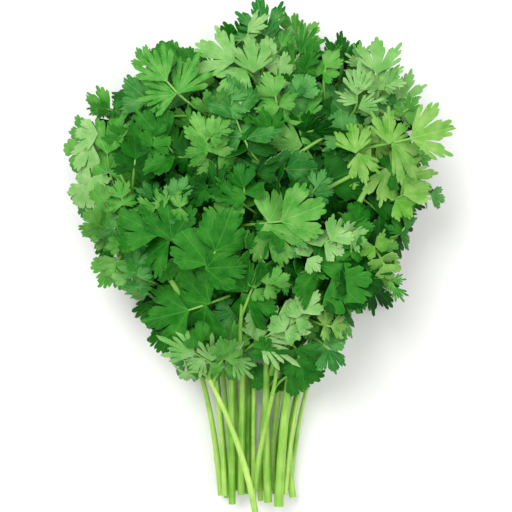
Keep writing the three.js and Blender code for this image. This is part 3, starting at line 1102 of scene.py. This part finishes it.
class Foliage:
    """Every leaf of the bunch, and the petioles that tie the leaves to the stems."""

    scatter = Scatter()

    def __init__(self, materials: Materials, stems: list[list[Vector]]) -> None:
        """Keep the materials, and sample the stems for leaves to join.

        Args:
            materials: The finishes of the bunch.
            stems: The curve of each stem.
        """
        self.materials = materials
        self.joins = [
            (cubic(curve, share / 20), cubic_direction(curve, share / 20))
            for curve in stems for share in range(9, 21)
        ]

    def petiole(self, mesh: Mesh, place: Matrix, length: float, slot: int, thick: float) -> None:
        """Add the petiole that runs from the nearest stem to a leaf's joint.

        Args:
            mesh: The leaf's mesh.
            place: The leaf's place.
            length: The leaf's length.
            slot: The petiole's material slot.
            thick: The petiole's diameter where it leaves the stem.
        """
        joint = place @ Vector((0.6, 0.0, -0.45))
        behind = place @ Vector((-0.75 * length, 0.0, -0.16 * length))

        def cost(join: tuple[Vector, Vector]) -> float:
            """Return how far a join is, with a penalty if it lies past the leaf."""
            return (join[0] - behind).length + max(0.0, join[0].y - behind.y + 6) * 1.5

        start, ahead = min(self.joins, key=cost)
        reach = (behind - start).length * 0.45
        points = [start, start + ahead * reach, behind, joint]
        Stalk(points, thick / 2, 0.5, 6, 9).add_to(mesh, slot, 0.05)

    def solid_leaf(self, name: str, row: tuple, amount: float, number: int) -> None:
        """Build the fine leaf that stands for one solid leaf.

        Args:
            name: The solid leaf's name.
            row: The leaf's row of the table.
            amount: How far the leaf turns out of the mound.
            number: The leaf's number, which seeds its irregularity.
        """
        x, y, heading, length, lean, roll, tone = row
        chance = random.Random(1000 + number)
        mesh = new_mesh()
        divided = y > YOUNG_FROM or tone in (Tone.YELLOW, Tone.PALE)
        rim = chance.choice(DIVIDED_RIMS if divided else BROAD_RIMS)
        leaf = Leaf(length, rim, lower_pair=number % 3 != 0)
        marks = leaf.add_blades(mesh, chance)
        turn = leaf_turn(heading, MOUND.facing(x, y, amount), lean, roll)
        foot = Vector((-0.62 * length, 0.0, -0.22 * length))
        low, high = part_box(name)
        shift = (low + high) / 2 / MM - middle_of([turn @ mark for mark in marks + [foot]])
        place = Matrix.Translation(shift) @ turn
        bmesh.ops.transform(mesh, matrix=place, verts=mesh.verts)
        self.petiole(mesh, place, length, 1, 2.6)
        piece = finish_piece(
            "fine_" + name, mesh, [self.materials.leaf[tone], self.materials.petiole])
        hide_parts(name)
        LOG.info("%s: %s, %d mm long", piece.name, tone.value, length)

    def solid_leaves(self) -> None:
        """Build every leaf that stands for a solid one."""
        for number, row in enumerate(LOWER_LEAVES, start=1):
            self.solid_leaf(f"lower_leaf_{number:02d}", row, 0.0, number)
        for number, row in enumerate(UPPER_LEAVES, start=1):
            self.solid_leaf(f"leaf_{number:02d}", row, MOUND.sideways, 100 + number)

    def surface_leaves(self, rows: int = 16) -> None:
        """Scatter small leaves over the top of the mound, in rows across the bunch.

        Args:
            rows: How many rows of leaves there are.
        """
        chance = random.Random(5)
        tones = list(Tone)
        for row in range(rows):
            y = mix_value(self.scatter.start, self.scatter.end, row / (rows - 1))
            left, right = head_width(y)
            mesh = new_mesh()
            columns = max(2, round((right - left) / self.scatter.spacing))
            laid = 0
            for column in range(columns):
                x = mix_value(left + 9, right - 6, (column + 0.5) / columns) + chance.uniform(-8, 8)
                rise = chance.uniform(*self.scatter.rise)
                if self._under_large_leaf(x, y):
                    rise -= self.scatter.sunk
                height = min(self.scatter.highest, MOUND.height(x, y) + rise)
                spot = Vector((x, y + chance.uniform(-6, 6), height))
                if all(math.dist(spot.xy, place[:2]) > place[2] for place in OPEN_PLACES):
                    self._surface_leaf(mesh, spot, tones, chance)
                    laid += 1
            finishes = [self.materials.leaf[tone] for tone in tones] + [self.materials.petiole]
            piece = finish_piece(f"small_leaves_{row + 1:02d}", mesh, finishes)
            LOG.info("%s: %d leaves", piece.name, laid)

    @staticmethod
    def _under_large_leaf(x: float, y: float) -> bool:
        """Tell whether a spot lies under one of the uppermost large leaves.

        Args:
            x: The spot's place to the right.
            y: The spot's place towards the tips.

        Returns:
            True if it does.
        """
        for joint_x, joint_y, heading, length, *_ in UPPER_LEAVES[UPPERMOST:] + ACCENT_LEAVES:
            turn = math.radians(heading)
            centre = (joint_x + 0.3 * length * math.cos(turn), joint_y + 0.3 * length * math.sin(turn))
            if math.dist((x, y), centre) < 0.62 * length:
                return True
        return False

    def accent_leaves(self, group: int = 6) -> None:
        """Lay the small leaves that have a place of their own, a few to a piece.

        Args:
            group: How many leaves go into one piece.
        """
        tones = list(Tone)
        finishes = [self.materials.leaf[tone] for tone in tones] + [self.materials.petiole]
        for start in range(0, len(ACCENT_LEAVES), group):
            mesh = new_mesh()
            for number, row in enumerate(ACCENT_LEAVES[start : start + group], start=start):
                x, y, heading, length, lean, tone, rim = row
                chance = random.Random(500 + number)
                facing = MOUND.facing(x, y, 0.5)
                facing = (facing + Vector([chance.uniform(-0.2, 0.2) for _ in range(3)])).normalized()
                turn = leaf_turn(heading, facing, lean, chance.uniform(-16, 16))
                lift = self.scatter.lift - max(0.0, y - YOUNG_FROM) * 0.6 - max(0.0, abs(x) - 66) * 0.4
                place = Matrix.Translation((x, y, MOUND.height(x, y) + lift)) @ turn
                self._small_leaf(mesh, place, length, rim, tones.index(tone), len(tones), chance)
            piece = finish_piece(f"accent_leaves_{start // group + 1:02d}", mesh, finishes)
            LOG.info("%s: on top of the mound", piece.name)

    def _surface_leaf(
        self, mesh: Mesh, spot: Vector, tones: list[Tone], chance: random.Random) -> None:
        """Add one small fine leaf and its petiole at a spot on the mound.

        Args:
            mesh: The row's mesh.
            spot: Where the leaf's joint is.
            tones: The tones in the order of the material slots.
            chance: The source of the leaf's irregularity.
        """
        heading = math.degrees(math.atan2(spot.y + 20, spot.x * 1.3)) + chance.uniform(-80, 80)
        facing = MOUND.facing(spot.x, spot.y, 0.7)
        facing = (facing + Vector([chance.uniform(-0.5, 0.5) for _ in range(3)])).normalized()
        turn = leaf_turn(heading, facing, chance.uniform(-26, 26), chance.uniform(-30, 30))
        place = Matrix.Translation(spot) @ turn
        rim = chance.choice((BROAD, DIVIDED, DIVIDED, ROUND))
        tone = tone_at(spot.x, spot.y, chance)
        length = chance.uniform(*self.scatter.lengths)
        self._small_leaf(mesh, place, length, rim, tones.index(tone), len(tones), chance)

    def _small_leaf(
        self, mesh: Mesh, place: Matrix, length: float, rim: RimShape, slot: int, stalk_slot: int,
        chance: random.Random) -> None:
        """Add a small leaf with its petiole to a piece that holds several.

        Args:
            mesh: The piece's mesh.
            place: The leaf's place.
            length: The length of its middle leaflet.
            rim: The shape of its leaflets.
            slot: The material slot of the blades.
            stalk_slot: The material slot of the petiole.
            chance: The source of the leaf's irregularity.
        """
        part = new_mesh()
        Leaf(length, rim, lower_pair=chance.random() < 0.5, rings=4).add_blades(part, chance)
        bmesh.ops.transform(part, matrix=place, verts=part.verts)
        self.petiole(part, place, length, 1, 2.0)
        for face in part.faces:
            face.material_index = slot if face.material_index == 0 else stalk_slot
        data = bpy.data.meshes.new("part")
        part.to_mesh(data)
        part.free()
        mesh.from_mesh(data)
        bpy.data.meshes.remove(data)

    def inner_leaves(self) -> None:
        """Fill the inside of the mound with leaves coloured in painted shade, in rows across the bunch."""
        chance = random.Random(77)
        for number, (y, left, right) in enumerate(HEAD_EDGE[3:-2], start=1):
            mesh = new_mesh()
            columns = max(3, round((right - left) / 20))
            for column in range(columns):
                x = mix_value(left + 15, right - 15, (column + 0.5) / columns) + chance.uniform(-4, 4)
                top = MOUND.height(x, y) * 0.9
                layers = max(2, round(top / 15))
                for layer in range(layers):
                    z = mix_value(5.0, top, layer / max(1, layers - 1)) + chance.uniform(-2, 2)
                    self._inner_leaf(mesh, x, y, max(z, 5.0), chance)
            leaf = self.materials.leaf
            piece = finish_piece(
                f"inner_leaves_{number:02d}", mesh,
                [leaf[Tone.SHADED], self.materials.petiole, leaf[Tone.DEEP]])
            LOG.info("%s: %d columns", piece.name, columns)

    def _inner_leaf(self, mesh: Mesh, x: float, y: float, z: float, chance: random.Random) -> None:
        """Add one leaf in painted shade with few faces, turned out of the mound.

        Args:
            mesh: The row's mesh.
            x: The leaf's place to the right.
            y: The leaf's place towards the tips.
            z: Its height over the table.
            chance: The source of the leaf's irregularity.
        """
        out = Vector((x - MOUND.centre.x, y - 20, 0.0))
        heading = math.degrees(math.atan2(out.y, out.x)) + chance.uniform(-45, 45)
        facing = MOUND.facing(x, y, 0.75)
        facing = (facing + Vector([chance.uniform(-0.3, 0.3) for _ in range(3)])).normalized()
        turn = leaf_turn(heading, facing, chance.uniform(-12, 6), chance.uniform(-20, 20))
        place = Matrix.Translation((x, y + chance.uniform(-5, 5), z)) @ turn
        length = chance.uniform(15, 22)
        # most inner leaves take the near-black painted shade, the rest the deep finish with its painted half
        # shade
        slot = 2 if chance.random() < 0.45 else 0
        sides = (leaflet_place(1, 62, 8, 12), leaflet_place(1, -62, 8, -12))
        for scale, spot in ((1.0, Matrix()), (0.84, sides[0]), (0.84, sides[1])):
            blade = Blade(COARSE, length * scale, rings=2, uneven=0.12, bend=0.2)
            blade.add_to(mesh, place @ spot, slot, chance.uniform(-0.15, 0.15), chance)


# ---------------------------------------------------------------- the studio


@dataclass
class Studio:
    """A pale table, soft light from above and a camera that looks straight down."""

    lens: float = 120.0
    sensor: float = 36.0
    view_mm: float = 271.0
    aim_height: float = 18.0
    table: str = "f4f4f2"
    sky: str = "fdfdfd"
    sky_strength: float = 0.64
    lights: tuple = (("key", (-0.42, 0.5, 1.05), 0.8, 11.5), ("fill", (0.6, -0.2, 0.95), 1.1, 5.0))

    def build(self) -> None:
        """Build the table, the lights and the camera."""
        self._table()
        for name, spot, size, power in self.lights:
            self._light(name, spot, size, power)
        self._sky()
        self._camera()

    def _table(self) -> None:
        """Lay a wide board painted matt off-white under the bunch, which reads as bare white."""
        mesh = bmesh.new()
        bmesh.ops.create_grid(mesh, x_segments=1, y_segments=1, size=3.0)
        data = bpy.data.meshes.new("table")
        mesh.to_mesh(data)
        mesh.free()
        material, tree = new_material("table_top")
        shader = add_node(
            tree, "ShaderNodeBsdfPrincipled", None, {"Base Color": linear(self.table), "Roughness": 0.8})
        add_node(tree, "ShaderNodeOutputMaterial", None, {"Surface": shader.outputs[0]})
        data.materials.append(material)
        table = bpy.data.objects.new("table", data)
        bpy.context.scene.collection.objects.link(table)

    @staticmethod
    def _light(name: str, spot: tuple[float, float, float], size: float, power: float) -> None:
        """Hang a square soft light that points at the bunch.

        Args:
            name: The light's name.
            spot: Its place, in metres.
            size: Its side, in metres.
            power: Its power, in watts.
        """
        data = bpy.data.lights.new(name, "AREA")
        data.size = size
        data.energy = power
        light = bpy.data.objects.new(name, data)
        light.location = spot
        aim = Vector((0.0, 0.0, 0.03)) - Vector(spot)
        light.rotation_euler = aim.to_track_quat("-Z", "Y").to_euler()
        bpy.context.scene.collection.objects.link(light)

    def _sky(self) -> None:
        """Surround the table with an even pale light."""
        world = bpy.data.worlds.new("room")
        world.use_nodes = True
        back = world.node_tree.nodes["Background"]
        back.inputs[0].default_value = linear(self.sky)
        back.inputs[1].default_value = self.sky_strength
        bpy.context.scene.world = world

    def _camera(self) -> None:
        """Look straight down with the leaves at the top of the frame."""
        data = bpy.data.cameras.new("camera")
        data.lens = self.lens
        data.sensor_width = self.sensor
        camera = bpy.data.objects.new("camera", data)
        distance = self.lens * self.view_mm / self.sensor
        camera.location = (0.0, 0.0, (distance + self.aim_height) * MM)
        bpy.context.scene.collection.objects.link(camera)
        bpy.context.scene.camera = camera
        bpy.context.scene.view_settings.view_transform = "Standard"


def main() -> None:
    """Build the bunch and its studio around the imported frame."""
    logging.basicConfig(level=logging.INFO, format="%(message)s")
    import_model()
    materials = Materials()
    stems = StemBundle(materials).build()
    foliage = Foliage(materials, stems)
    foliage.solid_leaves()
    foliage.surface_leaves()
    foliage.accent_leaves()
    foliage.inner_leaves()
    Studio().build()


if __name__ == "__main__":
    main()
